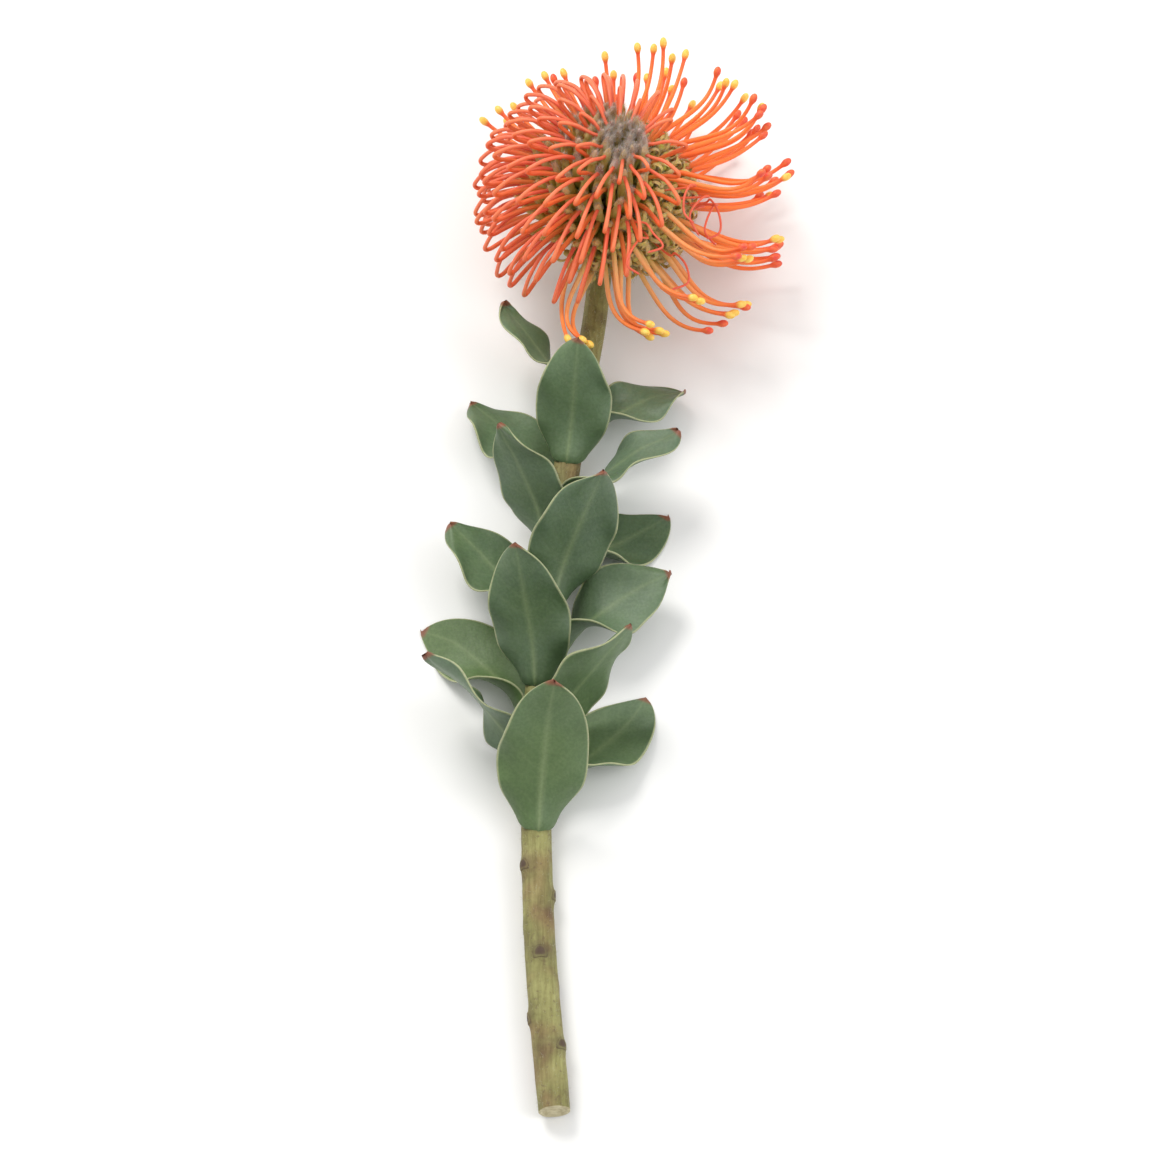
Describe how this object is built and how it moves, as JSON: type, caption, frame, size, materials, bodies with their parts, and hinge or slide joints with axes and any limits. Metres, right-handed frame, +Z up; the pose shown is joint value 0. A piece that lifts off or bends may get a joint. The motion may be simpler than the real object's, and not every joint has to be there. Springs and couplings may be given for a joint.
{
  "type": "pincushion protea flower",
  "caption": "Cut pincushion protea flower lying on its side: a domed orange head of long curved styles at right angles to a leafy woody stem.",
  "frame": {"origin": "middle of the lower face of the flower's box, on the surface that it lies on", "axes": "+Z up from that surface, +Y along the stem from its cut end towards the flower head, +X to the right when looking along +Y"},
  "size_m": [0.141, 0.419, 0.0786],
  "materials": {
    "stem": "matt olive bark with leaf scars",
    "leaf": "satin leathery green",
    "bract": "downy grey",
    "bud": "woolly olive beige",
    "floret": "satin orange with yellow tips"
  },
  "bodies": {
    "root": {"stem": "stem", "centre_buds": "bud", "leaf_01": "leaf", "leaf_02": "leaf", "leaf_03": "leaf", "leaf_04": "leaf", "leaf_05": "leaf", "leaf_06": "leaf", "leaf_07": "leaf", "leaf_08": "leaf", "leaf_09": "leaf", "leaf_10": "leaf", "leaf_11": "leaf", "leaf_12": "leaf", "leaf_13": "leaf", "leaf_14": "leaf", "leaf_15": "leaf", "leaf_16": "leaf", "bract_01": "bract", "bract_02": "bract", "bract_03": "bract", "bract_04": "bract", "bract_05": "bract", "bract_06": "bract", "bract_07": "bract", "bract_08": "bract", "bract_09": "bract", "bract_10": "bract", "bract_11": "bract", "bract_12": "bract", "bract_13": "bract", "floret_row_01": "floret", "floret_row_02": "floret", "floret_row_03": "floret", "floret_row_04": "floret", "floret_row_05": "floret", "floret_row_06": "floret", "floret_row_07": "floret", "floret_row_08": "floret", "floret_row_09": "floret", "floret_row_10": "floret", "floret_row_11": "floret", "floret_row_12": "floret", "floret_row_13": "floret", "floret_row_14": "floret", "floret_row_15": "floret", "floret_row_16": "floret", "floret_row_17": "floret", "floret_row_18": "floret", "floret_row_19": "floret", "floret_row_20": "floret", "floret_row_21": "floret"}
  },
  "joints": []
}
